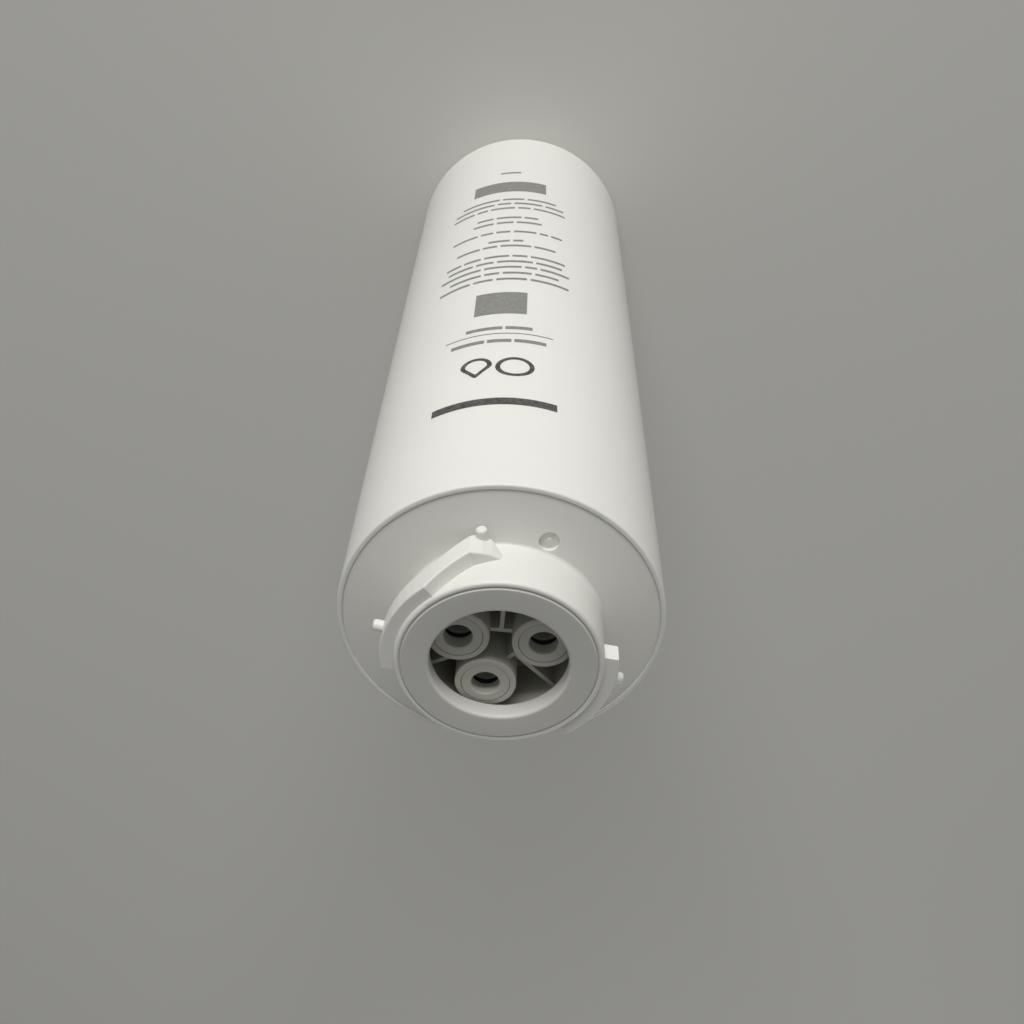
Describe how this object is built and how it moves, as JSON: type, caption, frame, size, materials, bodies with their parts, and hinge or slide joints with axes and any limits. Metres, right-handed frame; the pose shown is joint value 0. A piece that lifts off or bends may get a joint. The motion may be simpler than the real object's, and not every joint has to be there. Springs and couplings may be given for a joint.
{
  "type": "reverse osmosis membrane cartridge",
  "caption": "Sealed quick-change reverse osmosis membrane cartridge: a plain white drum with a short neck, cam lugs for a quarter-turn head, and hose sockets sunk in its mouth.",
  "frame": {"origin": "centre of the foot ring's face at the tail, on the cartridge's axis", "axes": "+Z along the axis from the tail to the ports; +Y towards the side that carries the print; +X to the left when the print faces the reader with the ports up"},
  "size_m": [0.086, 0.086, 0.2842],
  "materials": {
    "body_plastic": "satin",
    "port_plastic": "satin",
    "seal_rubber": "matte",
    "inner_plastic": "matte",
    "tube_plastic": "matte",
    "membrane": "matte",
    "wrap_tape": "glossy"
  },
  "bodies": {
    "root": {"housing": "body_plastic", "head_cap": "body_plastic", "mouth_ring": "body_plastic", "port_block": "port_plastic", "port_retainer_1": "port_plastic", "port_retainer_2": "port_plastic", "port_retainer_3": "port_plastic", "port_seal_1": "seal_rubber", "port_seal_2": "seal_rubber", "port_seal_3": "seal_rubber", "shell_seal": "seal_rubber", "tube_seal_1": "seal_rubber", "tube_seal_2": "seal_rubber", "plug_seal": "seal_rubber", "brine_seal": "seal_rubber", "channel_plate": "inner_plastic", "inner_shell": "inner_plastic", "tube_plug": "inner_plastic", "head_spider": "inner_plastic", "tail_spider": "inner_plastic", "tail_support": "inner_plastic", "permeate_tube": "tube_plastic", "membrane_roll": "membrane", "roll_wrap": "wrap_tape"}
  },
  "joints": []
}
